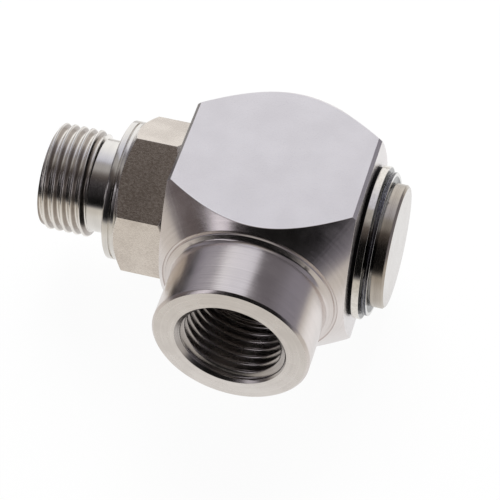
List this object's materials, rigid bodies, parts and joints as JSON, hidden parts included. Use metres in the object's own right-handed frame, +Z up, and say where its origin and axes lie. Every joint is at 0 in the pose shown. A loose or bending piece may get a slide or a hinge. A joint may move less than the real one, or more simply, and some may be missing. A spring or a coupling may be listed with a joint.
{
  "type": "hydraulic rotary union",
  "caption": "Right-angle hydraulic rotary union: a threaded stud stem turns in a square steel housing that has a female threaded port, sealed by rings inside.",
  "frame": {"origin": "centre of the stud's sealing shoulder, on the swivel axis", "axes": "+X along the swivel axis from the stud into the housing, port facing -Y, +Z up, normal to the housing's upper flat"},
  "size_m": [0.0688, 0.0494, 0.036],
  "materials": {
    "turned_steel": "fine turned and ground",
    "bright_steel": "bright turned, hexagon as drawn",
    "ground_steel": "ground",
    "dark_spring_steel": "phosphated",
    "black_rubber": "moulded",
    "white_ptfe": "turned",
    "bronze_filled_ptfe": "turned"
  },
  "bodies": {
    "housing_body": {"housing": "turned_steel"},
    "stem_body": {"stem": "bright_steel", "stud_seal_ring": "black_rubber", "left_dust_ring": "black_rubber", "left_guide_ring": "bronze_filled_ptfe", "left_outer_backup_ring": "white_ptfe", "left_o_ring": "black_rubber", "left_inner_backup_ring": "white_ptfe", "right_inner_backup_ring": "white_ptfe", "right_o_ring": "black_rubber", "right_outer_backup_ring": "white_ptfe", "right_guide_ring": "bronze_filled_ptfe", "right_dust_ring": "black_rubber", "support_washer": "ground_steel", "retaining_ring": "dark_spring_steel"}
  },
  "joints": [
    {"name": "swivel", "type": "hinge", "parent": "housing_body", "child": "stem_body", "pos_m": [0.0307, 0, 0], "axis": [1, 0, 0], "continuous": true}
  ]
}
